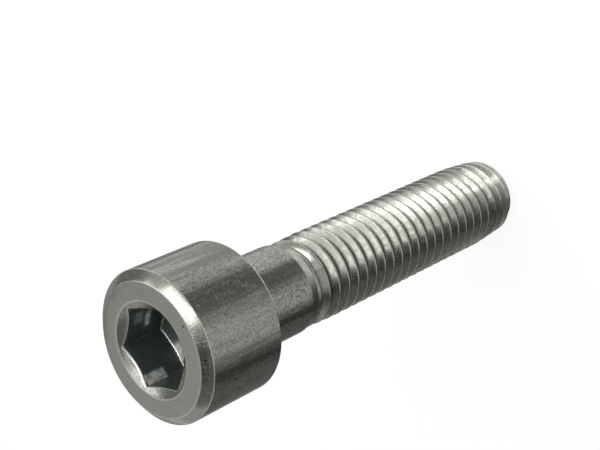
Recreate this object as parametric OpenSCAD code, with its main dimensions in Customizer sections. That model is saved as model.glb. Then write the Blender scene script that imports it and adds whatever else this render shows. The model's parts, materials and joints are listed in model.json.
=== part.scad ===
// Hex socket cap screw, M10 x 45 with a partial thread, all sizes in millimetres.
// It stands on the flat end of its thread, so z = 0 is the tip and the socket is on top.
// It is forged and rolled from one piece of steel: head, socket, shank and thread are one solid.

/* [Head] */
// Diameter of the head
head_d = 16; // [14:0.25:20]
// Height of the head above its bearing face
head_h = 10; // [9:0.5:14]
// Width of the chamfer round the top of the head
head_chamfer_w = 1; // [0.3:0.1:1.4]
// Height of the chamfer round the top of the head
head_chamfer_h = 0.8; // [0.3:0.1:1.5]
// Rounding where the side of the head meets its bearing face
rim_r = 0.3; // [0.1:0.05:0.6]

/* [Socket] */
// Width of the hexagon across its flats
socket_af = 8; // [6:0.25:8.5]
// Depth of the hexagon below the top of the head
socket_depth = 5.3; // [4:0.1:6]
// How far the countersink reaches past the corners of the hexagon
countersink_lip = 0.4; // [0.1:0.05:0.6]
// Full angle of the countersink
countersink_angle = 120; // [100:5:140]
// Depth of the cone at the bottom of the socket
floor_cone_h = 1.1; // [0.5:0.1:1.6]
// Diameter of the flat that the punch leaves at the tip of that cone
punch_flat_d = 2.2; // [1:0.1:3]

/* [Shank] */
// Length of the screw under its head
length = 45; // [40:1:80]
// Diameter of the plain shank
shank_d = 9.9; // [9.7:0.05:10.2]
// Radius of the fillet under the head
fillet_r = 0.5; // [0.3:0.05:0.7]
// Diameter of the neck between shank and thread
neck_d = 9.5; // [9:0.05:9.65]
// Length of the straight part of the neck
neck_h = 0.1; // [0.1:0.1:2]
// Length of the taper from the shank down to the neck
neck_taper_h = 1.05; // [0.5:0.05:4]

/* [Thread] */
// Diameter over the crests of the thread
thread_d = 9.85; // [9.7:0.05:10]
// Rise of the thread in one turn
pitch = 1.5; // [1:0.25:1.75]
// Length of the thread from the tip, with its run-out
thread_len = 36; // [20:0.5:36]
// Length over which the grooves fade out towards the neck
run_out_h = 1.8; // [1:0.1:4]
// Length over which the crests rise from the neck to their full diameter
crest_rise_h = 4; // [1:0.25:6]
// Length over which the crests slope in towards the tip
lead_h = 5.5; // [3:0.25:7]
// How much thinner the thread is at the end of that slope, on the diameter
lead_drop = 0.8; // [0.3:0.05:1.2]
// Width of the chamfer round the flat end
tip_chamfer = 0.5; // [0.3:0.05:0.8]
// Angle at which the thread starts, from the first corner of the socket
thread_angle = 66; // [0:1:359]
// Number of straight steps in one turn of the thread
steps = 36; // [24:4:40]

/* [Hidden] */
$fn = 96;
eps = 0.01;
head_r = head_d / 2;
shank_r = shank_d / 2;
neck_r = neck_d / 2;
crest_r = thread_d / 2;
total_h = length + head_h;
socket_corner_r = socket_af / 2 / cos(30);
countersink_r = socket_corner_r + countersink_lip;
countersink_slope = tan(countersink_angle / 2);

// Rolled 60 degree profile: a narrow root, a flank, a narrow crest and the other flank
thread_depth = 0.6134 * pitch;
root_r = crest_r - thread_depth;
crest_w = pitch / 8;
flank_w = thread_depth * tan(30);
root_w = pitch - crest_w - 2 * flank_w;
lane_z = [0, root_w, root_w + flank_w, root_w + flank_w + crest_w];
lane_r = [root_r, root_r, crest_r, crest_r];
lanes = len(lane_z);

// The tip: a flat end, a 45 degree chamfer and a long slope up to the full crest
lead_r = crest_r - lead_drop / 2;
tip_r = lead_r - tip_chamfer;
tip_outline = [[0, tip_r], [tip_chamfer, lead_r], [lead_h, crest_r]];

// The thread runs this far up into the neck, just inside its surface
seat_h = 0.5;
seat_r = neck_r - 0.04;

// The helix is laid out past both ends and then folded into the flat ring there
turns = ceil(thread_len / pitch) + 2;
rows = turns * lanes;

// Height of a row of the thread at one step of the turn
function row_z(row, step) =
    pitch * (floor(row / lanes) - 1 + step / steps) + lane_z[row % lanes];

// Share left of a groove or crest at a height: 1 along the thread, 0 where it has faded out
function share_left(z, fade_h) = max(0, min(1, (thread_len - z) / fade_h));

// Radius of a row at a height, narrowed towards the tip and faded out at the neck
function row_r(row, z) =
    let (full_r = lane_r[row % lanes],
         fade_h = full_r > seat_r ? crest_rise_h : run_out_h)
    min(lookup(z, tip_outline), seat_r + (full_r - seat_r) * share_left(z, fade_h));

function ring_point(r, step, z) = [r * cos(360 * step / steps), r * sin(360 * step / steps), z];

// Index of the point at a row and step: the lower ring comes first, then the upper ring,
// then the rows. The last step of a row is the first step of the row one turn on.
function corner(row, step) =
    let (own_row = step == steps ? row + lanes : row,
         s = step % steps,
         z = row_z(own_row, s))
    z <= eps ? s :
    z >= thread_len - eps ? steps + s :
    2 * steps + own_row * steps + s;

module thread() {
    points = concat(
        [for (s = [0 : steps - 1]) ring_point(tip_r, s, 0)],
        [for (s = [0 : steps - 1]) ring_point(seat_r, s, thread_len + seat_h)],
        [for (row = [0 : rows + lanes - 1], s = [0 : steps - 1])
            let (z = row_z(row, s)) ring_point(row_r(row, z), s, z)]);
    flats = [for (row = [0 : rows - 2], s = [0 : steps - 1])
        let (a = corner(row, s), b = corner(row, s + 1),
             c = corner(row + 1, s + 1), d = corner(row + 1, s))
        each [[a, c, b], [a, d, c]]];
    // Folded rows leave triangles with a corner named twice, which are left out
    sides = [for (f = flats) if (f[0] != f[1] && f[1] != f[2] && f[2] != f[0]) f];
    lower_face = [for (s = [0 : steps - 1]) s];
    upper_face = [for (s = [steps - 1 : -1 : 0]) steps + s];
    polyhedron(points, concat([lower_face, upper_face], sides), convexity = 10);
}

// Half outline of neck, shank and head, turned about the axis of the screw
module blank_outline() {
    neck_top = thread_len + neck_h;
    difference() {
        union() {
            polygon([
                [0, thread_len], [neck_r, thread_len], [neck_r, neck_top],
                [shank_r, neck_top + neck_taper_h], [shank_r, length - fillet_r],
                [shank_r + fillet_r, length], [head_r - rim_r, length],
                [head_r, length + rim_r], [head_r, total_h - head_chamfer_h],
                [head_r - head_chamfer_w, total_h], [0, total_h]]);
            translate([head_r - rim_r, length + rim_r]) circle(rim_r);
        }
        translate([shank_r + fillet_r, length - fillet_r]) circle(fillet_r);
    }
}

// The countersink, and the hexagon with the cone that the punch leaves at its bottom
module socket() {
    floor_z = total_h - socket_depth - floor_cone_h;
    countersink_h = countersink_r / countersink_slope;
    bore_r = socket_corner_r + eps;
    translate([0, 0, total_h - countersink_h])
        cylinder(h = countersink_h + eps, r1 = 0, r2 = countersink_r + eps * countersink_slope);
    translate([0, 0, floor_z]) intersection() {
        cylinder(h = head_h, r = socket_corner_r, $fn = 6);
        rotate_extrude()
            polygon([
                [0, 0], [punch_flat_d / 2, 0], [bore_r, floor_cone_h],
                [bore_r, head_h], [0, head_h]]);
    }
}

module cap_screw() {
    color("silver") union() {
        difference() {
            rotate_extrude() blank_outline();
            socket();
        }
        rotate([0, 0, thread_angle]) thread();
    }
}

cap_screw();
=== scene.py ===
"""Hex socket cap screw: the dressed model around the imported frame, laid out as an add-on."""
import json
import math

import bmesh
import bpy
from mathutils import Matrix, Vector


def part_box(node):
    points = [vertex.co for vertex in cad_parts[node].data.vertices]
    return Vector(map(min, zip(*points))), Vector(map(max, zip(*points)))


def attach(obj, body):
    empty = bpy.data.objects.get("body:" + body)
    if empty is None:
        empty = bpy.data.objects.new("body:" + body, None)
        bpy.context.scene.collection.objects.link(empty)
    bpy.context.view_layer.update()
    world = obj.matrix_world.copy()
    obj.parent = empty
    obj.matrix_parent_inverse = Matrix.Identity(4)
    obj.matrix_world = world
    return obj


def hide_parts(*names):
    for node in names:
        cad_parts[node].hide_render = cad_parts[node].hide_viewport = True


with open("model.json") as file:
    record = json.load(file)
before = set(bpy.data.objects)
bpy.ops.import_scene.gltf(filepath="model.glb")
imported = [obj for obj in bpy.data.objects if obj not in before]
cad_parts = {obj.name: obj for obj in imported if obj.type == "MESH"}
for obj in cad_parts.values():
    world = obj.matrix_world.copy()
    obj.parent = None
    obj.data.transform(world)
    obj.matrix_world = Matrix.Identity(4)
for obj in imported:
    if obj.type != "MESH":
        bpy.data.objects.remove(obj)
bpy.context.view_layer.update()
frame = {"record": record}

bl_info = {
    "name": "Hex socket cap screw",
    "version": (1, 0, 0),
    "blender": (4, 5, 0),
    "location": "3D View > Sidebar > Screw",
    "description": "Models a zinc plated hex socket cap screw and lights it",
    "category": "Mesh",
}

MM = 0.001
NODE = "cap_screw"
BODY = "root"
PIECE = "plated_screw"
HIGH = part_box(NODE)[1]
TOTAL_H = HIGH.z
SHANK_MOUNT = next(m for m in frame["record"]["mounts"] if m["name"] == "shank")

# Straight steps in one turn, a multiple of six so that every corner of the hexagon has its own
STEPS = 144
# Turn from one corner of the hexagon to the next
SIXTH = math.tau / 6
# Steps in half a rounded corner of the hexagon and in its rounded edges, then the parts that
# its walls and its floor are cut into
CORNER_STEPS = 3
EDGE_STEPS = 3
WALL_PARTS = 6
FLOOR_PARTS = 4
# Depth of the rolled thread as a share of its pitch, and the slope of its flanks
THREAD_DEPTH = 0.6134
FLANK_SLOPE = math.radians(30)
# Two points nearer than this are the same point
NEAR = 0.001 * MM
# Faces that meet at less than this are shaded as one. At 50 degrees a grey patch lies on the
# flank near the tip
SMOOTH_ANGLE = math.radians(32)
# Faces in the socket whose normals rise by between these shares are its rounded edges, which are
# painted bright as wear and highlight
WORN_HIGHLIT_RISE = (0.12, 0.82)


def length_property(name, description, default):
    """A size in metres that the sidebar shows with its unit."""
    return bpy.props.FloatProperty(
        name=name, description=description, default=default, min=0.0,
        precision=5, subtype="DISTANCE", unit="LENGTH")


def angle_property(name, description, degrees):
    """An angle that the sidebar shows in degrees."""
    return bpy.props.FloatProperty(
        name=name, description=description, default=math.radians(degrees),
        subtype="ANGLE", unit="ROTATION")


def colour_property(name, description, default):
    """A linear colour."""
    return bpy.props.FloatVectorProperty(
        name=name, description=description, default=default, size=3,
        min=0.0, max=1.0, subtype="COLOR")


def share_property(name, description, default, highest=1.0):
    """A plain number from nothing to its highest value."""
    return bpy.props.FloatProperty(
        name=name, description=description, default=default, min=0.0, max=highest)


class ScrewSizes(bpy.types.PropertyGroup):
    """Sizes of the screw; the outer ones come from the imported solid."""

    head_r: length_property("Head radius", "Radius of the head", HIGH.y)
    head_h: length_property("Head height", "Height of the head", 10 * MM)
    chamfer_w: length_property("Chamfer width", "Width of the chamfer on the head", 1 * MM)
    chamfer_h: length_property("Chamfer height", "Height of the chamfer on the head", 0.8 * MM)
    chamfer_round: length_property("Chamfer edge", "Rounding of both chamfer edges", 0.1 * MM)
    rim_r: length_property("Rim radius", "Rounding of the lower rim of the head", 0.3 * MM)
    socket_af: length_property("Socket across flats", "Width of the hexagon", 8 * MM)
    socket_depth: length_property("Socket depth", "Depth of the hexagon", 5.3 * MM)
    socket_corner_r: length_property("Socket corners", "Rounding in the six corners", 0.25 * MM)
    socket_edge_r: length_property("Socket edge", "Rounding where face and countersink meet", 0.09 * MM)
    socket_rim_r: length_property("Socket rim", "Rounding at the top of the walls", 0.16 * MM)
    socket_foot_r: length_property("Socket foot", "Rounding at the foot of the walls", 0.2 * MM)
    countersink_lip: length_property(
        "Countersink lip", "How far the countersink passes the corners", 0.4 * MM)
    countersink_angle: angle_property("Countersink angle", "Full angle of the countersink", 120)
    floor_cone_h: length_property("Floor cone", "Depth of the cone in the socket", 1.1 * MM)
    punch_flat_d: length_property("Punch flat", "Flat at the tip of that cone", 2.2 * MM)
    shank_r: length_property(
        "Shank radius", "Radius of the plain shank", SHANK_MOUNT["dims"]["r_mm"] * MM)
    fillet_r: length_property("Fillet", "Fillet under the head", 0.5 * MM)
    neck_r: length_property("Neck radius", "Radius between shank and thread", 4.75 * MM)
    neck_h: length_property("Neck height", "Straight part of the neck", 0.1 * MM)
    neck_taper_h: length_property("Neck taper", "Taper from the shank to the neck", 1.05 * MM)
    neck_round: length_property("Neck rounding", "Rounding at the foot of the taper", 0.08 * MM)
    taper_round: length_property("Taper rounding", "Rounding at the top of the taper", 0.15 * MM)
    thread_r: length_property("Thread radius", "Radius over the crests", 4.925 * MM)
    root_round: length_property("Root rounding", "Rounding at the foot of a flank", 0.11 * MM)
    crest_round: length_property("Crest rounding", "Rounding at the top of a flank", 0.088 * MM)
    pitch: length_property("Pitch", "Rise of the thread in one turn", 1.5 * MM)
    thread_len: length_property("Thread length", "From the tip, with its run-out", 36 * MM)
    run_out_h: length_property("Run-out", "Length over which the grooves fade", 1.5 * MM)
    crest_rise_h: length_property("Crest rise", "Length over which the crests rise", 4 * MM)
    lead_h: length_property("Lead", "Length over which the tip narrows", 5.5 * MM)
    lead_drop: length_property("Lead drop", "How much thinner the tip is", 0.8 * MM)
    tip_chamfer: length_property("Tip chamfer", "Chamfer round the flat end", 0.5 * MM)
    thread_angle: angle_property("Thread start", "Angle at which the thread starts", 66)


class SteelLook(bpy.types.PropertyGroup):
    """Colours of the plated steel, and of the painted shade and highlights on it."""

    plating: colour_property("Plating", "Colour of the zinc", (0.552, 0.57, 0.504))
    dulled: colour_property("Dulled plating", "Zinc where it has gone dull", (0.266, 0.275, 0.243))
    # Bright zinc for rubbed wear and scratches, also used for painted highlights and painted
    # reflections
    rubbed_and_highlight: colour_property("Rubbed edges", "Zinc rubbed bright", (0.845, 0.87, 0.80))
    # Painted shade deep in the socket
    socket_shade: colour_property("Socket shade", "Painted shade deep in the socket", (0.078, 0.098, 0.094))
    # Dark specks, and painted shade at the bottom of the thread's grooves
    grime_and_groove_shade: colour_property("Grime", "Dark specks, and painted shade at the bottom of the grooves", (0.045, 0.047, 0.045))


class StudioSet(bpy.types.PropertyGroup):
    """Camera and light."""

    azimuth: angle_property("Azimuth", "Side the camera looks from", 286.106)
    elevation: angle_property("Elevation", "How far the camera looks down", 42.959)
    roll: angle_property("Roll", "Turn of the camera about its own axis", -112.959)
    distance: length_property("Distance", "From the camera to its aim", 141.22 * MM)
    aim: bpy.props.FloatVectorProperty(
        name="Aim", description="Point that the camera looks at",
        default=(1.519 * MM, -5.259 * MM, 30.594 * MM), subtype="TRANSLATION", unit="LENGTH")
    lens: bpy.props.FloatProperty(
        name="Lens", description="Focal length in millimetres", default=78.246, min=1.0)
    key_radiance: share_property("Softbox", "Brightness of the softbox", 2.4, 10.0)
    fill: share_property("Fill", "Brightness of the room on what isn't glossy", 0.5)


def sizes():
    """The sizes that the sidebar holds."""
    return bpy.context.scene.screw_sizes


def edit_mode(on):
    """Turns edit mode of the active object on or off."""
    bpy.ops.object.mode_set(mode="EDIT" if on else "OBJECT")


def radius_of(point):
    """Distance of a point from the axis of the screw."""
    return math.hypot(point.x, point.y)


def pick(kind, test):
    """Selects, in edit mode, only the vertices or edges whose points all pass the test."""
    bpy.ops.mesh.select_mode(type=kind)
    bpy.ops.mesh.select_all(action="DESELECT")
    mesh = bpy.context.edit_object.data
    shape = bmesh.from_edit_mesh(mesh)
    for item in shape.verts if kind == "VERT" else shape.edges:
        ends = [item] if kind == "VERT" else item.verts
        if all(test(vertex.co) for vertex in ends):
            item.select_set(True)
    shape.select_flush(True)
    bmesh.update_edit_mesh(mesh)


def place_picked(place):
    """Puts each selected vertex where the rule says."""
    mesh = bpy.context.edit_object.data
    shape = bmesh.from_edit_mesh(mesh)
    for vertex in shape.verts:
        if vertex.select:
            vertex.co = place(vertex.co)
    bmesh.update_edit_mesh(mesh)


def draw_outline(name, outline):
    """Draws a line through (radius, height) points, and leaves it in edit mode."""
    bpy.ops.object.select_all(action="DESELECT")
    bpy.ops.mesh.primitive_plane_add(size=1 * MM)
    bpy.context.object.name = name
    edit_mode(True)
    bpy.ops.mesh.select_mode(type="VERT")
    bpy.ops.mesh.select_all(action="SELECT")
    bpy.ops.mesh.merge(type="CENTER")
    here = Vector((outline[0][0], 0, outline[0][1]))
    bpy.ops.transform.translate(value=here)
    for radius, height in outline[1:]:
        there = Vector((radius, 0, height))
        bpy.ops.mesh.extrude_vertices_move(TRANSFORM_OT_translate={"value": there - here})
        here = there


def round_corner(radius, height, size, segments):
    """Rounds one corner of the line under edit; size is the length taken from each side."""
    corner = Vector((radius, 0, height))
    pick("VERT", lambda point: (point - corner).length < NEAR)
    bpy.ops.mesh.bevel(
        offset=size, offset_type="OFFSET", segments=segments, affect="VERTICES")


def nearest(points, place):
    """Number of the point that lies nearest to a place."""
    return min(range(len(points)), key=lambda number: (points[number] - place).length_squared)


def rounded(before, corner, after, share):
    """A point on the curve that rounds a corner between its two neighbours."""
    return before.lerp(corner, share).lerp(corner.lerp(after, share), share)


def corner_radius(s):
    """Distance from the axis to the hexagon's corners, before they are rounded."""
    return s.socket_af / 2 / math.cos(SIXTH / 2)


def countersink_radius(s):
    """Radius of the edge where the countersink meets the face, before it is rounded."""
    return corner_radius(s) + s.countersink_lip


def lip_of_countersink(s):
    """Radius and height of the ring, just inside the face, that the socket is punched from."""
    inward = 2 * s.socket_edge_r
    lip_z = TOTAL_H - inward / math.tan(s.countersink_angle / 2)
    return countersink_radius(s) - inward, lip_z


def hexagon_outline(across_flats, corner_r):
    """Points of a hexagon with rounded corners, one for each step, from the corner on +X."""
    arc_centre = (across_flats / 2 - corner_r) / math.cos(SIXTH / 2)
    arc = []
    for step in range(-CORNER_STEPS, CORNER_STEPS + 1):
        angle = SIXTH / 2 * step / CORNER_STEPS
        arc.append(Vector((arc_centre + corner_r * math.cos(angle), corner_r * math.sin(angle))))
    to_next = Matrix.Rotation(SIXTH, 2)
    flat_steps = STEPS // 6 - 2 * CORNER_STEPS
    flat = [arc[-1].lerp(to_next @ arc[0], step / flat_steps) for step in range(1, flat_steps)]
    # From the middle of one corner to just short of the middle of the next
    side = arc[CORNER_STEPS:] + flat + [to_next @ point for point in arc[:CORNER_STEPS]]
    return [Matrix.Rotation(SIXTH * corner, 2) @ point for corner in range(6) for point in side]


class SCREW_OT_turn_blank(bpy.types.Operator):
    """Draws the outline of head, shank and neck, rounds its corners and spins it"""

    bl_idname = "screw.turn_blank"
    bl_label = "Turn the blank"

    def execute(self, context):
        s = sizes()
        under_head = TOTAL_H - s.head_h
        neck_top = s.thread_len + s.neck_h
        taper_top = neck_top + s.neck_taper_h
        chamfer_foot = TOTAL_H - s.chamfer_h
        face_r = s.head_r - s.chamfer_w
        countersink_r = countersink_radius(s)
        draw_outline("blank", [
            (s.neck_r, s.thread_len), (s.neck_r, neck_top), (s.shank_r, taper_top),
            (s.shank_r, under_head), (s.head_r, under_head), (s.head_r, chamfer_foot),
            (face_r, TOTAL_H), (countersink_r, TOTAL_H), lip_of_countersink(s)])
        round_corner(s.neck_r, neck_top, s.neck_round, 3)
        round_corner(s.shank_r, taper_top, s.taper_round, 3)
        round_corner(s.shank_r, under_head, s.fillet_r, 6)
        round_corner(s.head_r, under_head, s.rim_r, 6)
        round_corner(s.head_r, chamfer_foot, s.chamfer_round, 4)
        round_corner(face_r, TOTAL_H, s.chamfer_round, 4)
        round_corner(countersink_r, TOTAL_H, s.socket_edge_r, 3)
        bpy.ops.mesh.select_all(action="SELECT")
        bpy.ops.mesh.spin(
            steps=STEPS, angle=math.tau, center=(0, 0, 0), axis=(0, 0, 1), use_auto_merge=True)
        bpy.ops.mesh.select_all(action="SELECT")
        bpy.ops.mesh.remove_doubles(threshold=NEAR)
        edit_mode(False)
        return {"FINISHED"}


class SCREW_OT_punch_socket(bpy.types.Operator):
    """Extrudes the open edge of the face down into countersink, hexagon and punched floor"""

    bl_idname = "screw.punch_socket"
    bl_label = "Punch the socket"

    def execute(self, context):
        s = sizes()
        corner_r, countersink_r = corner_radius(s), countersink_radius(s)
        slope = math.tan(s.countersink_angle / 2)
        floor_z = TOTAL_H - s.socket_depth - s.floor_cone_h
        punch_r = s.punch_flat_d / 2
        lip_r, lip_z = lip_of_countersink(s)
        circle = [Vector((math.cos(turn), math.sin(turn)))
                  for turn in (math.tau * step / STEPS for step in range(STEPS))]

        def countersink_point(flat):
            return Vector((flat.x, flat.y, TOTAL_H - (countersink_r - flat.length) / slope))

        def floor_point(flat, turn, share):
            at = flat.lerp(turn * punch_r, share)
            rise = s.floor_cone_h * (at.length - punch_r) / (corner_r - punch_r)
            return Vector((at.x, at.y, floor_z + rise))

        # One column of points for each step, from the countersink down to the punched flat
        columns = []
        rounding = [step / EDGE_STEPS for step in range(EDGE_STEPS + 1)]
        down_wall = [part / WALL_PARTS for part in range(1, WALL_PARTS)]
        across_floor = [part / FLOOR_PARTS for part in range(1, FLOOR_PARTS + 1)]
        for flat, turn in zip(hexagon_outline(s.socket_af, s.socket_corner_r), circle):
            rim, foot = countersink_point(flat), floor_point(flat, turn, 0)
            outside = countersink_point(flat + flat.normalized() * s.socket_rim_r)
            under_rim = rim - Vector((0, 0, s.socket_rim_r))
            over_foot = foot + Vector((0, 0, s.socket_foot_r))
            inside = floor_point(flat, turn, s.socket_foot_r / (flat.length - punch_r))
            columns.append(
                [rounded(outside, rim, under_rim, share) for share in rounding]
                + [under_rim.lerp(over_foot, share) for share in down_wall]
                + [rounded(over_foot, foot, inside, share) for share in rounding]
                + [floor_point(flat, turn, share) for share in across_floor])

        context.view_layer.objects.active = bpy.data.objects["blank"]
        edit_mode(True)
        pick("EDGE", lambda point: (
            abs(point.z - lip_z) < NEAR and abs(radius_of(point) - lip_r) < NEAR))
        ring = [Vector((turn.x * lip_r, turn.y * lip_r, lip_z)) for turn in circle]
        for deeper in zip(*columns):
            bpy.ops.mesh.extrude_edges_move()
            place_picked(lambda point: deeper[nearest(ring, point)])
            ring = deeper
        bpy.ops.mesh.extrude_edges_move()
        bpy.ops.transform.resize(value=(0.5, 0.5, 1))
        bpy.ops.mesh.extrude_edges_move()
        bpy.ops.mesh.merge(type="CENTER")
        edit_mode(False)
        return {"FINISHED"}


class SCREW_OT_roll_thread(bpy.types.Operator):
    """Sweeps one groove and crest along a helix, folds both ends in and closes the tip"""

    bl_idname = "screw.roll_thread"
    bl_label = "Roll the thread"

    def execute(self, context):
        s = sizes()
        depth = THREAD_DEPTH * s.pitch
        root_r = s.thread_r - depth
        crest_w = s.pitch / 8
        flank_w = depth * math.tan(FLANK_SLOPE)
        root_w = s.pitch - crest_w - 2 * flank_w
        lead_r = s.thread_r - s.lead_drop / 2
        tip_r = lead_r - s.tip_chamfer
        # Middle of the first root, one turn below the tip and shifted for the start angle
        start = root_w / 2 - s.pitch * (1 + s.thread_angle / math.tau)
        foot, top = start + root_w / 2, start + root_w / 2 + flank_w
        next_foot = start + s.pitch - root_w / 2
        draw_outline("thread", [
            (root_r, start), (root_r, foot), (s.thread_r, top), (s.thread_r, top + crest_w),
            (root_r, next_foot), (root_r, start + s.pitch)])
        for radius, height, size in (
                (root_r, foot, s.root_round), (root_r, next_foot, s.root_round),
                (s.thread_r, top, s.crest_round), (s.thread_r, top + crest_w, s.crest_round)):
            round_corner(radius, height, size, 3)
        edit_mode(False)
        bpy.ops.object.modifier_add(type="SCREW")
        sweep = context.object.modifiers[-1]
        sweep.steps = sweep.render_steps = STEPS
        sweep.iterations = math.ceil(s.thread_len / s.pitch) + 3
        sweep.screw_offset = s.pitch
        bpy.ops.object.modifier_apply(modifier=sweep.name)

        def tip_limit(z):
            if z < s.tip_chamfer:
                return tip_r + (lead_r - tip_r) * z / s.tip_chamfer
            if z < s.lead_h:
                rise = (z - s.tip_chamfer) / (s.lead_h - s.tip_chamfer)
                return lead_r + (s.thread_r - lead_r) * rise
            return s.thread_r

        def fold(point):
            z = min(max(point.z, 0), s.thread_len)
            own_r = radius_of(point)
            fade_h = s.crest_rise_h if own_r > s.neck_r else s.run_out_h
            share_left = min((s.thread_len - z) / fade_h, 1)
            r = min(tip_limit(z), s.neck_r + (own_r - s.neck_r) * share_left)
            if point.z <= 0:
                r = tip_r
            return Vector((point.x / own_r * r, point.y / own_r * r, z))

        edit_mode(True)
        bpy.ops.mesh.select_all(action="SELECT")
        place_picked(fold)
        bpy.ops.mesh.remove_doubles(threshold=NEAR)
        pick("EDGE", lambda point: (
            abs(point.z) < NEAR and abs(radius_of(point) - tip_r) < NEAR))
        for share in (0.85, 0.6):
            bpy.ops.mesh.extrude_edges_move()
            bpy.ops.transform.resize(value=(share, share, 1))
        bpy.ops.mesh.extrude_edges_move()
        bpy.ops.mesh.merge(type="CENTER")
        edit_mode(False)
        return {"FINISHED"}


class SCREW_OT_join_body(bpy.types.Operator):
    """Joins blank and thread into one closed body with true normals"""

    bl_idname = "screw.join_body"
    bl_label = "Join the body"

    def execute(self, context):
        bpy.ops.object.select_all(action="DESELECT")
        for name in ("thread", "blank"):
            bpy.data.objects[name].select_set(True)
        context.view_layer.objects.active = bpy.data.objects["blank"]
        bpy.ops.object.join()
        body = context.object
        body.name = body.data.name = PIECE
        edit_mode(True)
        bpy.ops.mesh.select_all(action="SELECT")
        bpy.ops.mesh.remove_doubles(threshold=NEAR)
        bpy.ops.mesh.dissolve_degenerate(threshold=NEAR)
        bpy.ops.mesh.normals_make_consistent(inside=False)
        edit_mode(False)
        bpy.ops.object.shade_smooth_by_angle(angle=SMOOTH_ANGLE)
        bpy.ops.object.modifier_add(type="WEIGHTED_NORMAL")
        even = context.object.modifiers[-1]
        even.keep_sharp = True
        bpy.ops.object.modifier_apply(modifier=even.name)
        shape = bmesh.new()
        shape.from_mesh(body.data)
        open_edges = sum(1 for edge in shape.edges if not edge.is_manifold)
        shape.free()
        if open_edges:
            raise RuntimeError(f"{open_edges} edges are open")
        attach(body, BODY)
        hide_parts(NODE)
        return {"FINISHED"}


def add_node(tree, kind, settings=None, inputs=None):
    """A new node; an input is a value, or another node's output to link."""
    made = tree.nodes.new(kind)
    for name, value in (settings or {}).items():
        setattr(made, name, value)
    for name, value in (inputs or {}).items():
        if isinstance(value, bpy.types.NodeSocket):
            tree.links.new(value, made.inputs[name])
        else:
            made.inputs[name].default_value = value
    return made


def maths(tree, operation, first, second=0.0):
    """The result of one sum."""
    done = add_node(tree, "ShaderNodeMath", {"operation": operation}, {0: first, 1: second})
    return done.outputs[0]


def combined(tree, operation, values):
    """One operation carried through all the values, from left to right."""
    total = values[0]
    for value in values[1:]:
        total = maths(tree, operation, total, value)
    return total


def spread(tree, value, low, high, to_low=0.0, to_high=1.0):
    """Maps low to high onto another range, smoothly and without leaving it."""
    done = add_node(tree, "ShaderNodeMapRange", {"interpolation_type": "SMOOTHSTEP"}, {
        "Value": value, "From Min": low, "From Max": high,
        "To Min": to_low, "To Max": to_high})
    return done.outputs[0]


def blend_colours(tree, share, first, second):
    """Goes from the first colour to the second as the share rises."""
    done = add_node(tree, "ShaderNodeMix", {"data_type": "RGBA"}, {"Factor": share})
    for socket, colour in (("A_Color", first), ("B_Color", second)):
        target = next(i for i in done.inputs if i.identifier == socket)
        if isinstance(colour, bpy.types.NodeSocket):
            tree.links.new(colour, target)
        else:
            target.default_value = (*colour, 1)
    return next(o for o in done.outputs if o.identifier == "Result_Color")


def stretched(tree, place, scale, shift=(0, 0, 0), turn=(0, 0, 0)):
    """The place, turned, stretched and shifted."""
    done = add_node(tree, "ShaderNodeMapping", None, {
        "Vector": place, "Location": shift, "Rotation": turn, "Scale": scale})
    return done.outputs[0]


def noise(tree, place, scale, detail, roughness=0.55):
    """Soft noise from 0 to 1."""
    done = add_node(tree, "ShaderNodeTexNoise", None, {
        "Vector": place, "Scale": scale, "Detail": detail, "Roughness": roughness})
    return done.outputs["Fac"]


def new_group(name, takes, gives):
    """A node group and its sockets, all numbers except the vector Millimetres."""
    tree = bpy.data.node_groups.new(name, "ShaderNodeTree")
    for way, labels in (("INPUT", takes), ("OUTPUT", gives)):
        for label in labels:
            kind = "NodeSocketVector" if label == "Millimetres" else "NodeSocketFloat"
            tree.interface.new_socket(name=label, in_out=way, socket_type=kind)
    source, sink = add_node(tree, "NodeGroupInput"), add_node(tree, "NodeGroupOutput")
    return tree, source.outputs, sink.inputs


def measure_group():
    """Radius and height in millimetres, and the angle round the screw in degrees."""
    tree, taken, given = new_group(
        "screw_measures", ("Millimetres",), ("Radius", "Height", "Around"))
    parts = add_node(tree, "ShaderNodeSeparateXYZ", None, {0: taken["Millimetres"]})
    across, along, height = parts.outputs
    square = maths(tree, "ADD", maths(tree, "MULTIPLY", across, across),
                   maths(tree, "MULTIPLY", along, along))
    around = maths(tree, "ARCTAN2", along, across)
    for label, value in (
            ("Radius", maths(tree, "SQRT", square)), ("Height", height),
            ("Around", maths(tree, "MODULO", maths(tree, "ADD", maths(
                tree, "DEGREES", around), 360.0), 360.0))):
        tree.links.new(value, given[label])
    return tree


def grain_group():
    """The uneven skin of plated steel: relief, and a mottle of dull and bright grains."""
    tree, taken, given = new_group(
        "plated_grain", ("Millimetres", "Grain Size", "Mottle Size"),
        ("Relief", "Mottle", "Swell"))
    place = taken["Millimetres"]
    per_grain = maths(tree, "DIVIDE", 1.0, taken["Grain Size"])
    per_mottle = maths(tree, "DIVIDE", 1.0, taken["Mottle Size"])
    relief = noise(tree, place, per_grain, 2.0)
    aside = stretched(tree, place, (1, 1, 1), (17, 5, 29))
    mottle = spread(tree, noise(tree, aside, per_mottle, 3.0, 0.7), 0.44, 0.58)
    swell = noise(tree, aside, 0.4, 1.0)
    for label, value in (("Relief", relief), ("Mottle", mottle), ("Swell", swell)):
        tree.links.new(value, given[label])
    return tree


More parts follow.
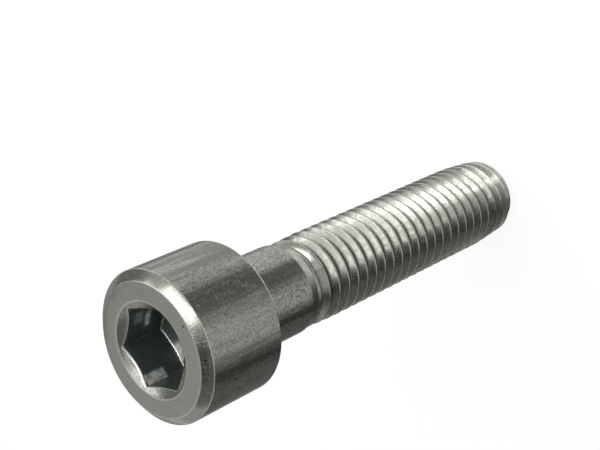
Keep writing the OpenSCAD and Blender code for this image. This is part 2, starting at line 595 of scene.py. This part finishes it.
def streak_group():
    """Marks that a die leaves along the axis."""
    tree, taken, given = new_group(
        "die_streaks", ("Millimetres", "Width", "Length"), ("Streak",))
    per_width = maths(tree, "DIVIDE", 1.0, taken["Width"])
    per_length = maths(tree, "DIVIDE", 1.0, taken["Length"])
    scale = add_node(tree, "ShaderNodeCombineXYZ", None, {
        0: per_width, 1: per_width, 2: per_length})
    drawn = add_node(tree, "ShaderNodeVectorMath", {"operation": "MULTIPLY"}, {
        0: taken["Millimetres"], 1: scale.outputs[0]})
    tree.links.new(
        spread(tree, noise(tree, drawn.outputs[0], 1.0, 3.0, 0.6), 0.36, 0.66),
        given["Streak"])
    return tree


def scratch_group():
    """Short thin scratches in a few directions."""
    tree, taken, given = new_group(
        "handling_scratches", ("Millimetres", "Width", "Share"), ("Scratch",))
    total = None
    for number, turn in enumerate(((0.4, 0.9, 0.2), (1.3, 0.2, 1.1), (2.2, 1.5, 0.5))):
        drawn = stretched(tree, taken["Millimetres"], (0.25, 1.3, 1.3),
                          (3.0 * number, 1.0, 7.0), turn)
        line = noise(tree, drawn, 1.0, 1.0)
        off_line = maths(tree, "ABSOLUTE", maths(tree, "SUBTRACT", line, 0.5))
        thin = maths(tree, "SUBTRACT", 1.0, spread(
            tree, off_line, 0.0, maths(tree, "MULTIPLY", taken["Width"], 0.25)))
        here = noise(tree, stretched(
            tree, taken["Millimetres"], (1, 1, 1), (11.0 * number, 3, 2)), 0.8, 1.0)
        least = maths(tree, "SUBTRACT", 1.0, taken["Share"])
        kept = maths(tree, "MULTIPLY", thin, spread(
            tree, here, least, maths(tree, "ADD", least, 0.06)))
        total = kept if total is None else maths(tree, "MAXIMUM", total, kept)
    tree.links.new(total, given["Scratch"])
    return tree


def rub_and_highlight_group():
    """A ragged band along a round edge, painted bright: partly wear from handling, partly painted
    highlight.
    """
    tree, taken, given = new_group("rubbed_highlit_edge", (
        "Millimetres", "Radius", "Height", "Edge Radius", "Edge Height", "Width"), ("Rub",))
    off_r = maths(tree, "SUBTRACT", taken["Radius"], taken["Edge Radius"])
    off_h = maths(tree, "SUBTRACT", taken["Height"], taken["Edge Height"])
    away = maths(tree, "SQRT", maths(tree, "ADD", maths(tree, "MULTIPLY", off_r, off_r),
                                     maths(tree, "MULTIPLY", off_h, off_h)))
    ragged = maths(tree, "ADD", 0.5, noise(tree, taken["Millimetres"], 1.6, 3.0))
    reach = maths(tree, "MULTIPLY", taken["Width"], ragged)
    tree.links.new(
        maths(tree, "SUBTRACT", 1.0, spread(
            tree, away, maths(tree, "MULTIPLY", reach, 0.4), reach)),
        given["Rub"])
    return tree


def speck_group():
    """Small dark pits scattered here and there."""
    tree, taken, given = new_group(
        "dark_specks", ("Millimetres", "Spacing", "Size", "Share"), ("Speck",))
    cells = add_node(tree, "ShaderNodeTexVoronoi", None, {
        "Vector": taken["Millimetres"],
        "Scale": maths(tree, "DIVIDE", 1.0, taken["Spacing"])})
    away = maths(tree, "MULTIPLY", cells.outputs["Distance"], taken["Spacing"])
    near = maths(tree, "SUBTRACT", 1.0, spread(
        tree, away, maths(tree, "MULTIPLY", taken["Size"], 0.5), taken["Size"]))
    chance = add_node(tree, "ShaderNodeSeparateColor", None, {0: cells.outputs["Color"]})
    kept = maths(tree, "LESS_THAN", chance.outputs[0], taken["Share"])
    tree.links.new(maths(tree, "MULTIPLY", near, kept), given["Speck"])
    return tree


def patch_group():
    """A soft-edged rectangle round a centre, in any two coordinates."""
    tree, taken, given = new_group("soft_patch", (
        "First", "First Centre", "First Half", "Second", "Second Centre", "Second Half",
        "Softness"), ("Patch",))
    inside = []
    for name in ("First", "Second"):
        away = maths(tree, "ABSOLUTE", maths(
            tree, "SUBTRACT", taken[name], taken[name + " Centre"]))
        half, soft = taken[name + " Half"], taken["Softness"]
        inside.append(maths(tree, "SUBTRACT", 1.0, spread(
            tree, away, maths(tree, "SUBTRACT", half, soft), maths(tree, "ADD", half, soft))))
    tree.links.new(maths(tree, "MULTIPLY", *inside), given["Patch"])
    return tree


class Finish:
    """A plated material under construction: its shader and the shared effects it places."""

    def __init__(self, name, groups, grain_size, mottle_size):
        self.material = bpy.data.materials.new(name)
        self.material.use_nodes = True
        self.tree = self.material.node_tree
        self.groups = groups
        self.shader = self.tree.nodes["Principled BSDF"]
        self.shader.inputs["Metallic"].default_value = 1.0
        place = add_node(self.tree, "ShaderNodeTexCoord").outputs["Object"]
        self.mm = add_node(self.tree, "ShaderNodeVectorMath", {"operation": "SCALE"}, {
            0: place, "Scale": 1 / MM}).outputs[0]
        measured = self.effect("screw_measures", Millimetres=self.mm)
        self.radius, self.height, self.around = (
            measured.outputs[n] for n in ("Radius", "Height", "Around"))
        skin = self.effect(
            "plated_grain", Millimetres=self.mm, Grain_Size=grain_size, Mottle_Size=mottle_size)
        self.relief, self.mottle, self.swell = (
            skin.outputs[n] for n in ("Relief", "Mottle", "Swell"))

    def effect(self, name, **inputs):
        """Places a shared effect with its own values."""
        return add_node(self.tree, "ShaderNodeGroup", {"node_tree": self.groups[name]}, {
            label.replace("_", " "): value for label, value in inputs.items()})

    def rub(self, radius, height, width):
        """A bright band of wear and painted highlight along the round edge at a radius and height, in
        millimetres.
        """
        return self.effect(
            "rubbed_highlit_edge", Millimetres=self.mm, Radius=self.radius, Height=self.height,
            Edge_Radius=radius, Edge_Height=height, Width=width).outputs["Rub"]

    def patch(self, first, first_range, second, second_range, softness):
        """A soft rectangle; each range is its lowest and highest value."""
        (first_low, first_high), (second_low, second_high) = first_range, second_range
        return self.effect(
            "soft_patch", First=first, First_Centre=(first_low + first_high) / 2,
            First_Half=(first_high - first_low) / 2, Second=second,
            Second_Centre=(second_low + second_high) / 2,
            Second_Half=(second_high - second_low) / 2, Softness=softness).outputs["Patch"]

    def along(self, degrees):
        """Distance from the axis in one direction, in millimetres."""
        turn = math.radians(degrees)
        done = add_node(self.tree, "ShaderNodeVectorMath", {"operation": "DOT_PRODUCT"}, {
            0: self.mm, 1: (math.cos(turn), math.sin(turn), 0)})
        return done.outputs["Value"]

    def sum(self, operation, first, second):
        """One sum in this material."""
        return maths(self.tree, operation, first, second)

    def times(self, *values):
        """The values multiplied."""
        return combined(self.tree, "MULTIPLY", values)

    def plus(self, *values):
        """The values added."""
        return combined(self.tree, "ADD", values)

    def most(self, *values):
        """The highest of the values."""
        return combined(self.tree, "MAXIMUM", values)

    def spread(self, value, low, high, to_low=0.0, to_high=1.0):
        """One mapped range in this material."""
        return spread(self.tree, value, low, high, to_low, to_high)

    def band(self, value, rise_low, rise_high, fall_low, fall_high):
        """1 from the end of the rise to the start of the fall, and 0 outside both."""
        return self.times(self.spread(value, rise_low, rise_high),
                          self.spread(value, fall_low, fall_high, 1.0, 0.0))

    def blend(self, share, first, second):
        """One blend of colours in this material."""
        return blend_colours(self.tree, share, first, second)

    def finish(self, colour, roughness, relief, depth):
        """Links colour, roughness and relief; depth is the relief's height in metres."""
        bump = add_node(self.tree, "ShaderNodeBump", None, {"Distance": depth, "Height": relief})
        for label, value in (
                ("Base Color", colour), ("Roughness", roughness), ("Normal", bump.outputs[0])):
            self.tree.links.new(value, self.shader.inputs[label])
        return self.material


def head_plating(groups, look, s):
    """Satin zinc with die streaks up its side, edges painted bright as rubbed wear and painted
    highlight, and scuffs on the chamfer.
    """
    m = Finish("head_plating", groups, 0.24, 0.26)
    top = TOTAL_H / MM
    face_r = (s.head_r - s.chamfer_w) / MM
    head_r = s.head_r / MM
    chamfer_foot = top - s.chamfer_h / MM
    streak = m.effect("die_streaks", Millimetres=m.mm, Width=0.75, Length=16.0).outputs[0]
    scratch = m.effect("handling_scratches", Millimetres=m.mm, Width=0.02, Share=0.47).outputs[0]
    speck = m.effect("dark_specks", Millimetres=m.mm, Spacing=1.5, Size=0.16, Share=0.35)
    side = m.sum("LESS_THAN", m.height, chamfer_foot - 0.05)
    on_chamfer = m.times(
        m.spread(m.radius, face_r - 0.02, face_r + 0.05), m.sum("SUBTRACT", 1.0, side))
    # The die scored a third of the side deeper, and knocks scuffed the chamfer next to it
    scored = m.times(side, m.spread(m.around, 224, 246))
    inner = m.spread(m.radius, face_r + 0.45, face_r + 0.7, 1.0, 0.35)
    scuffed = m.times(on_chamfer, inner, m.band(m.around, 152, 162, 198, 208))
    # Bright rings at the countersink, the face's edge, the chamfer's foot and the lower rim: partly
    # rubbed wear, partly painted highlight
    rubbed_and_highlight = m.most(
        m.rub(countersink_radius(s) / MM, top, 0.16), m.rub(face_r, top, 0.12),
        m.rub(head_r, chamfer_foot, 0.10),
        m.rub(head_r - 0.1, (TOTAL_H - s.head_h) / MM + 0.12, 0.22))
    uneven = m.plus(m.times(side, 0.45), m.times(scuffed, 0.9), 0.10)
    dull = m.plus(
        m.times(m.mottle, uneven), m.times(streak, side, 0.25), m.times(streak, scored, 0.9),
        m.times(scuffed, 0.5))
    colour = m.blend(dull, look.plating, look.dulled)
    colour = m.blend(speck.outputs[0], colour, look.grime_and_groove_shade)
    lit_scratch = m.times(scratch, m.plus(m.times(scuffed, 0.5), 0.3))
    colour = m.blend(lit_scratch, colour, look.rubbed_and_highlight)
    colour = m.blend(m.times(rubbed_and_highlight, 0.8), colour, look.rubbed_and_highlight)
    roughness = m.plus(m.spread(m.mottle, 0, 1, 0.19, 0.27), m.times(rubbed_and_highlight, 0.08))
    coarse = m.plus(m.times(side, 0.85), m.times(scuffed, 0.6), 0.15)
    relief = m.plus(m.times(m.relief, coarse), m.times(streak, side, 0.5), m.times(m.swell, 4.0))
    relief = m.sum("SUBTRACT", relief, m.times(scratch, 0.3))
    return m.finish(colour, roughness, relief, 0.016 * MM)


def socket_steel(groups, look, s):
    """Dark punched steel: painted shade below the mouth, and painted reflections on two walls and the
    floor.
    """
    m = Finish("socket_steel", groups, 0.5, 0.6)
    top = TOTAL_H / MM
    apothem = s.socket_af / 2 / MM
    sunk = m.spread(m.height, top - 0.75, top - 0.25, 1.0, 0.0)
    on_floor = m.spread(m.height, top - 5.5, top - 5.38, 0.9, 0.0)
    # A painted reflection on the socket's floor, from about 17 to 58 degrees round
    painted_reflection = m.times(m.band(m.around, 17, 33, 50, 58), on_floor)
    # Direction of the wall, then the painted reflection's extent along it and in depth, and its
    # strength
    for wall, along, depth, share in (
            (30, (1.2, 2.4), (0.5, 3.1), 0.85),
            (330, (-0.9, 0.9), (2.85, 3.5), 1.0),
            (330, (-1.2, 0.1), (1.4, 2.4), 0.4)):
        rubbed_and_highlight = m.patch(m.along(wall + 90), along, m.height, (top - depth[1], top - depth[0]), 0.2)
        on_wall = m.spread(m.along(wall), apothem - 0.12, apothem - 0.05)
        painted_reflection = m.most(painted_reflection, m.times(rubbed_and_highlight, on_wall, share))
    painted_reflection = m.times(painted_reflection, m.spread(m.mottle, 0, 1, 1.0, 0.65))
    # Painted shade: below the mouth the socket takes the dark shade colour, except under the painted
    # reflections
    dark = m.times(m.sum("SUBTRACT", 0.97, painted_reflection), sunk)
    # Below the mouth the steel is made partly matt, the more so under the painted reflections
    scattering = m.times(sunk, m.plus(0.6, m.times(painted_reflection, 0.3)))
    m.tree.links.new(m.sum("SUBTRACT", 1.0, scattering), m.shader.inputs["Metallic"])
    colour = m.blend(m.times(m.mottle, 0.5), look.plating, look.dulled)
    colour = m.blend(m.times(sunk, painted_reflection), colour, look.rubbed_and_highlight)
    colour = m.blend(dark, colour, look.socket_shade)
    return m.finish(colour, m.spread(m.mottle, 0, 1, 0.22, 0.34), m.relief, 0.010 * MM)


def worn_highlit_edge(groups, look, s):
    """Zinc along the socket's rounded edges, painted bright: partly polished by keys, partly painted
    highlight.
    """
    m = Finish("worn_highlit_edge", groups, 0.4, 0.5)
    colour = m.blend(m.times(m.mottle, 0.3), look.rubbed_and_highlight, look.plating)
    return m.finish(colour, m.spread(m.mottle, 0, 1, 0.22, 0.32), m.relief, 0.006 * MM)


def shank_plating(groups, look, s):
    """Zinc over the rough drawn wire: the grainiest surface of the screw."""
    m = Finish("shank_plating", groups, 0.22, 0.24)
    streak = m.effect("die_streaks", Millimetres=m.mm, Width=0.6, Length=9.0).outputs[0]
    dull = m.plus(m.times(m.mottle, 0.85), m.times(streak, 0.2))
    colour = m.blend(dull, look.plating, look.dulled)
    relief = m.plus(m.relief, m.times(streak, 0.3))
    return m.finish(colour, m.spread(m.mottle, 0, 1, 0.19, 0.28), relief, 0.016 * MM)


def thread_plating(groups, look, s):
    """Rolled zinc: painted shade deep in the grooves, and crests painted as bright lines, partly rubbed
    wear and partly painted highlight.
    """
    m = Finish("thread_plating", groups, 0.6, 0.5)
    thread_len = s.thread_len / MM
    crest_r = m.spread(m.height, s.tip_chamfer / MM, s.lead_h / MM,
                       (s.thread_r - s.lead_drop / 2) / MM, s.thread_r / MM)
    below = m.sum("SUBTRACT", crest_r, m.radius)
    rolled = m.sum("LESS_THAN", m.height, thread_len - 0.5)
    # Crests painted bright: partly rubbed wear, partly painted highlight
    rubbed_and_highlight = m.times(m.spread(below, 0.03, 0.09, 1.0, 0.0), rolled)
    colour = m.blend(m.times(m.mottle, 0.3), look.plating, look.dulled)
    # Painted shade darkens the bottom of the grooves
    colour = m.blend(m.times(m.spread(below, 0.5, 0.9), 0.92), colour, look.grime_and_groove_shade)
    colour = m.blend(m.times(rubbed_and_highlight, 0.5), colour, look.rubbed_and_highlight)
    # A painted highlight on the crest nearest the shank, for part of its turn
    painted_crest_highlight = m.patch(
        m.around, (203, 233), m.height, (thread_len - 1.9, thread_len - 0.5), 0.35)
    colour = m.blend(m.times(painted_crest_highlight, m.spread(m.mottle, 0, 1, 1.0, 0.4)), colour, look.rubbed_and_highlight)
    return m.finish(colour, m.spread(m.mottle, 0, 1, 0.22, 0.30), m.relief, 0.006 * MM)


def light_path_share(tree):
    """1 where the camera, or a reflection, sees the surface."""
    path = add_node(tree, "ShaderNodeLightPath")
    seen = path.outputs["Is Camera Ray"]
    for other in ("Is Glossy Ray", "Is Transmission Ray"):
        seen = maths(tree, "MAXIMUM", seen, path.outputs[other])
    return seen


class SCREW_OT_plate_steel(bpy.types.Operator):
    """Makes the shared effects and the finishes, and gives each region its own"""

    bl_idname = "screw.plate_steel"
    bl_label = "Plate the steel"

    def execute(self, context):
        s, look = sizes(), context.scene.steel_look
        groups = {tree.name: tree for tree in (
            measure_group(), grain_group(), streak_group(), scratch_group(), rub_and_highlight_group(),
            speck_group(), patch_group())}
        body = bpy.data.objects[PIECE]
        finishes = (head_plating, socket_steel, worn_highlit_edge, shank_plating, thread_plating)
        for make in finishes:
            body.data.materials.append(make(groups, look, s))
        under_head = TOTAL_H - s.head_h
        taper_top = s.thread_len + s.neck_h + s.neck_taper_h
        socket_r = countersink_radius(s) - s.socket_edge_r
        least_rise, most_rise = WORN_HIGHLIT_RISE
        for face in body.data.polygons:
            centre = face.center
            radius = radius_of(centre)
            if centre.z > under_head + s.rim_r and radius < socket_r:
                # The socket's rounded edges, painted bright as wear and highlight
                worn = least_rise < face.normal.z < most_rise
                region = worn_highlit_edge if worn else socket_steel
            elif centre.z < taper_top:
                region = thread_plating
            elif centre.z < under_head - NEAR and radius < s.shank_r + s.fillet_r:
                region = shank_plating
            else:
                region = head_plating
            face.material_index = finishes.index(region)
        return {"FINISHED"}


# Cards that only reflections show. Those on the floor are sectors round the axis: first and
# last angle from +X in degrees, then tone. The near ones reach out to NEAR_FLOOR_R
CARD_STEPS = 180
FLOOR_HOLE_R = 1 * MM
NEAR_FLOOR_R = 33 * MM
FAR_FLOOR_R = 600 * MM
NEAR_FLOOR_CARDS = (
    ("near_black_card", 60, 158, 0.04),
    ("near_dark_card", 158, 176, 0.12),
    ("near_grey_card", 176, 194, 0.40),
    ("near_soft_card", 194, 214, 0.66),
    ("near_pale_card", 214, 304, 0.88),
    ("near_far_card", 304, 420, 0.21),
)
FAR_FLOOR_CARDS = (
    ("far_dull_card", 52, 112, 0.14),
    ("far_black_card", 112, 136, 0.05),
    ("far_soft_card", 136, 152, 0.24),
    ("far_grey_card", 152, 194, 0.50),
    ("far_dim_card", 194, 210, 0.33),
    ("far_deep_card", 210, 254, 0.15),
    ("far_pale_card", 254, 332, 0.70),
    ("far_side_card", 332, 412, 0.30),
)
# Those that hang level with the foot of the chamfer, where only the thread's flanks show them:
# corners in millimetres, towards the camera and to its right, and tone
LEVEL_CARD_H = 54.2 * MM
CAMERA_SIDE = math.radians(196.1)
LEVEL_CARDS = (
    ("thread_near_card", ((4, 14), (11, 13), (14, 20), (8, 28), (4, 30), (-2, 33), (-12, 38),
                          (-24, 42), (-22, 34), (-12, 27), (-2, 18)), 0.74),
    ("thread_mid_card", ((11, 13), (18, 14), (22, 18), (17, 27), (9, 35), (4, 36), (4, 30),
                         (8, 28), (14, 20)), 0.9),
    ("thread_key_card", ((22, 18), (27, 22), (26, 34), (14, 45), (4, 43), (4, 36), (9, 35),
                         (17, 27)), 4.5),
    ("thread_far_card", ((4, 30), (4, 42), (2, 49), (-20, 49), (-24, 42), (-12, 38),
                         (-2, 33)), 2.2),
    ("thread_dim_card", ((-22, 34), (-24, 42), (-20, 49), (2, 49), (-4, 58), (-34, 58),
                         (-36, 38)), 0.5),
    ("thread_dark_card", ((-36, 38), (-34, 58), (-4, 58), (-20, 80), (-70, 90),
                          (-60, 50)), 0.12),
    ("thread_side_card", ((9, -3), (10, 6), (6, 12), (4, 14), (11, 13), (15, 13.5),
                          (15, -9.5), (9, -7)), 0.76),
    ("thread_edge_card", ((15, 13.5), (18, 14), (25, 14), (30, -16), (18, -11),
                          (15, -9.5)), 1.5),
    ("thread_low_card", ((6, -14), (14, -15), (24, -22), (40, -60), (10, -60),
                         (6, -28)), 0.04),
    ("thread_back_card", ((-6, -16), (6, -14), (6, -28), (10, -60), (40, -60), (40, -100),
                          (-80, -100), (-60, -40)), 0.13),
)
# Those in the air: direction from the head, distance, width and height in metres, direction of
# the width, tone
AIR_CARDS = (
    ("key_card", (-0.086, -0.452, 0.888), 0.40, 0.32, 0.15, (0.604, -0.471, -0.23), 2.5),
    ("wing_card", (0.393, -0.386, 0.84), 0.16, 0.14, 0.065, (0.394, -0.246, -0.286), 1.2),
    ("side_card", (-0.251, -0.104, 0.96), 0.40, 0.16, 0.09, (0.277, -0.961, 0), 1.0),
    ("edge_card", (-0.452, -0.453, 0.77), 0.40, 0.22, 0.09, (-0.693, -0.375, -0.615), 3.0),
    ("near_flag", (-0.30, 0.57, 0.76), 0.80, 1.0, 1.0, (1, 0, 0), 0.13),
    ("side_flag", (0.907, -0.259, 0.25), 0.80, 0.9, 0.6, (0.27, 0.96, 0), 0.17),
)
# The tent of one tone that reflections show behind all the cards
TENT_R = 1.2
TENT_TONE = 0.40
SOFTBOX_TOWARD = (-0.036, -0.489, 0.87)
SOFTBOX_DISTANCE = 0.40
SOFTBOX_SIZE = (0.38, 0.29)
# The floor lies just under the tip. Where the camera or a reflection sees it, a glow takes this
# share of its own colour's place, so that it comes out white and keeps its shadow
FLOOR_SIZE = 3
FLOOR_GAP = 0.02 * MM
FLOOR_COLOUR = (0.93, 0.93, 0.93, 1)
FLOOR_GLOW = 1.06
FLOOR_GLOW_SHARE = 0.84
WHITE = (1, 1, 1, 1)


def empty_material(name):
    """A material with no nodes, and its tree."""
    material = bpy.data.materials.new(name)
    material.use_nodes = True
    material.node_tree.nodes.clear()
    return material, material.node_tree


def only_reflected(card):
    """Hides a card from everything except reflections."""
    card.visible_camera = False
    card.visible_diffuse = False
    card.visible_transmission = False
    card.visible_volume_scatter = False
    card.visible_shadow = False


def card_material(name, grey):
    """An even card of one tone."""
    material, tree = empty_material(name)
    shine = add_node(tree, "ShaderNodeEmission", None, {
        "Color": (grey, grey, grey, 1), "Strength": 1.0})
    add_node(tree, "ShaderNodeOutputMaterial", None, {"Surface": shine.outputs[0]})
    return material


class SCREW_OT_set_studio(bpy.types.Operator):
    """Lays the pale floor and sets cards, softbox, room light and camera"""

    bl_idname = "screw.set_studio"
    bl_label = "Set the studio"

    def execute(self, context):
        studio = context.scene.studio_set
        self.lay_floor()
        self.set_cards()
        self.set_softbox(studio)
        self.light_room(context, studio)
        self.set_camera(context, studio)
        context.scene.view_settings.view_transform = "Standard"
        return {"FINISHED"}

    def lay_floor(self):
        bpy.ops.object.select_all(action="DESELECT")
        bpy.ops.mesh.primitive_plane_add(size=FLOOR_SIZE, location=(0, 0, -FLOOR_GAP))
        floor = bpy.context.object
        floor.name = "floor"
        material, tree = empty_material("pale_floor")
        matt = add_node(tree, "ShaderNodeBsdfDiffuse", None, {"Color": FLOOR_COLOUR})
        white = add_node(tree, "ShaderNodeEmission", None, {"Strength": FLOOR_GLOW})
        seen = maths(tree, "MULTIPLY", light_path_share(tree), FLOOR_GLOW_SHARE)
        mixed = add_node(tree, "ShaderNodeMixShader", None, {
            0: seen, 1: matt.outputs[0], 2: white.outputs[0]})
        add_node(tree, "ShaderNodeOutputMaterial", None, {"Surface": mixed.outputs[0]})
        floor.data.materials.append(material)

    def set_cards(self):
        for name, first, last, tone in NEAR_FLOOR_CARDS:
            self.lay_card(name, first, last, FLOOR_HOLE_R, NEAR_FLOOR_R, tone)
        for name, first, last, tone in FAR_FLOOR_CARDS:
            self.lay_card(name, first, last, NEAR_FLOOR_R, FAR_FLOOR_R, tone)
        for name, corners, tone in LEVEL_CARDS:
            self.level_card(name, corners, tone)
        for name, toward, distance, width, height, along, tone in AIR_CARDS:
            self.hang_card(name, Vector(toward), distance, (width, height, 1), Vector(along), tone)
        bpy.ops.object.select_all(action="DESELECT")
        bpy.ops.mesh.primitive_uv_sphere_add(segments=48, ring_count=24, radius=TENT_R)
        edit_mode(True)
        bpy.ops.mesh.select_all(action="SELECT")
        bpy.ops.mesh.bisect(plane_co=(0, 0, 0), plane_no=(0, 0, 1), clear_inner=True)
        edit_mode(False)
        self.dress_card("grey_tent", TENT_TONE)

    def dress_card(self, name, tone):
        """Gives the new card its name and tone, and shows it to reflections only."""
        card = bpy.context.object
        card.name = name
        card.data.materials.append(card_material(name, tone))
        only_reflected(card)

    def lay_card(self, name, first, last, inner_r, outer_r, tone):
        """A sector of a ring on the floor."""
        bpy.ops.object.select_all(action="DESELECT")
        bpy.ops.mesh.primitive_circle_add(vertices=CARD_STEPS, radius=inner_r)
        edit_mode(True)
        bpy.ops.mesh.extrude_edges_move()
        bpy.ops.transform.resize(value=(outer_r / inner_r, outer_r / inner_r, 1))
        bpy.ops.mesh.select_mode(type="FACE")
        bpy.ops.mesh.select_all(action="DESELECT")
        mesh = bpy.context.edit_object.data
        shape = bmesh.from_edit_mesh(mesh)
        for face in shape.faces:
            centre = face.calc_center_median()
            angle = math.degrees(math.atan2(centre.y, centre.x)) % 360
            face.select_set(not (first <= angle < last or first <= angle + 360 < last))
        bmesh.update_edit_mesh(mesh)
        bpy.ops.mesh.delete(type="FACE")
        edit_mode(False)
        self.dress_card(name, tone)

    def level_card(self, name, corners, tone):
        """A level card of any outline, as high as the foot of the chamfer."""
        bpy.ops.object.select_all(action="DESELECT")
        bpy.ops.mesh.primitive_circle_add(
            vertices=len(corners), radius=10 * MM, fill_type="NGON",
            location=(0, 0, LEVEL_CARD_H))
        edit_mode(True)
        turn = Matrix.Rotation(CAMERA_SIDE, 3, "Z")
        mesh = bpy.context.edit_object.data
        shape = bmesh.from_edit_mesh(mesh)
        for vertex, (toward, aside) in zip(shape.verts, corners):
            vertex.co = turn @ Vector((toward * MM, aside * MM, 0))
        bmesh.update_edit_mesh(mesh)
        edit_mode(False)
        self.dress_card(name, tone)

    def hang_card(self, name, toward, distance, size, along, tone):
        """A rectangle in the air that faces the head."""
        bpy.ops.object.select_all(action="DESELECT")
        toward.normalize()
        upward = toward.cross(along).normalized()
        turned = Matrix((upward.cross(toward), upward, toward)).transposed()
        bpy.ops.mesh.primitive_plane_add(
            size=1, location=Vector((0, 0, TOTAL_H)) + toward * distance,
            rotation=turned.to_euler())
        bpy.ops.transform.resize(value=size, orient_type="LOCAL")
        self.dress_card(name, tone)

    def set_softbox(self, studio):
        head = Vector((0, 0, TOTAL_H))
        toward = Vector(SOFTBOX_TOWARD).normalized()
        bpy.ops.object.light_add(type="AREA", location=head + toward * SOFTBOX_DISTANCE)
        softbox = bpy.context.object
        softbox.name = "softbox"
        softbox.rotation_euler = (-toward).to_track_quat("-Z", "Y").to_euler()
        softbox.data.shape = "RECTANGLE"
        softbox.data.size, softbox.data.size_y = SOFTBOX_SIZE
        area = softbox.data.size * softbox.data.size_y
        softbox.data.energy = studio.key_radiance * math.pi * area
        # What the steel shows of it comes from the key cards
        softbox.visible_glossy = False

    def light_room(self, context, studio):
        world = context.scene.world or bpy.data.worlds.new("room")
        context.scene.world = world
        world.use_nodes = True
        tree = world.node_tree
        tree.nodes.clear()
        fill, white = (
            add_node(tree, "ShaderNodeBackground", None, {"Color": WHITE, "Strength": strength})
            for strength in (studio.fill, 1.0))
        mixed = add_node(tree, "ShaderNodeMixShader", None, {
            0: light_path_share(tree), 1: fill.outputs[0], 2: white.outputs[0]})
        add_node(tree, "ShaderNodeOutputWorld", None, {"Surface": mixed.outputs[0]})

    def set_camera(self, context, studio):
        level = math.cos(studio.elevation)
        back = Vector((
            math.sin(studio.azimuth) * level, -math.cos(studio.azimuth) * level,
            math.sin(studio.elevation)))
        bpy.ops.object.camera_add(location=Vector(studio.aim) + back * studio.distance)
        camera = bpy.context.object
        upright = (-back).to_track_quat("-Z", "Y").to_matrix()
        turned = upright @ Matrix.Rotation(studio.roll, 3, "Z")
        camera.rotation_euler = turned.to_euler()
        camera.data.lens = studio.lens
        camera.data.clip_start = 1 * MM
        context.scene.camera = camera


class SCREW_PT_sidebar(bpy.types.Panel):
    """The steps in order, and the values that they use"""

    bl_idname = "SCREW_PT_sidebar"
    bl_label = "Hex socket cap screw"
    bl_space_type = "VIEW_3D"
    bl_region_type = "UI"
    bl_category = "Screw"

    def draw(self, context):
        for step in STEPS_IN_ORDER:
            self.layout.operator(step.bl_idname)
        for group in (context.scene.screw_sizes, context.scene.steel_look,
                      context.scene.studio_set):
            box = self.layout.box()
            for name in group.__annotations__:
                box.prop(group, name)


STEPS_IN_ORDER = (
    SCREW_OT_turn_blank,
    SCREW_OT_punch_socket,
    SCREW_OT_roll_thread,
    SCREW_OT_join_body,
    SCREW_OT_plate_steel,
    SCREW_OT_set_studio,
)
CLASSES = (ScrewSizes, SteelLook, StudioSet, *STEPS_IN_ORDER, SCREW_PT_sidebar)


def register():
    """Registers the classes and hangs the values on the scene."""
    for item in CLASSES:
        bpy.utils.register_class(item)
    bpy.types.Scene.screw_sizes = bpy.props.PointerProperty(type=ScrewSizes)
    bpy.types.Scene.steel_look = bpy.props.PointerProperty(type=SteelLook)
    bpy.types.Scene.studio_set = bpy.props.PointerProperty(type=StudioSet)


def unregister():
    """Takes them away again."""
    del bpy.types.Scene.studio_set
    del bpy.types.Scene.steel_look
    del bpy.types.Scene.screw_sizes
    for item in reversed(CLASSES):
        bpy.utils.unregister_class(item)


def main():
    register()
    bpy.ops.screw.turn_blank()
    bpy.ops.screw.punch_socket()
    bpy.ops.screw.roll_thread()
    bpy.ops.screw.join_body()
    bpy.ops.screw.plate_steel()
    bpy.ops.screw.set_studio()


if __name__ == "__main__":
    main()
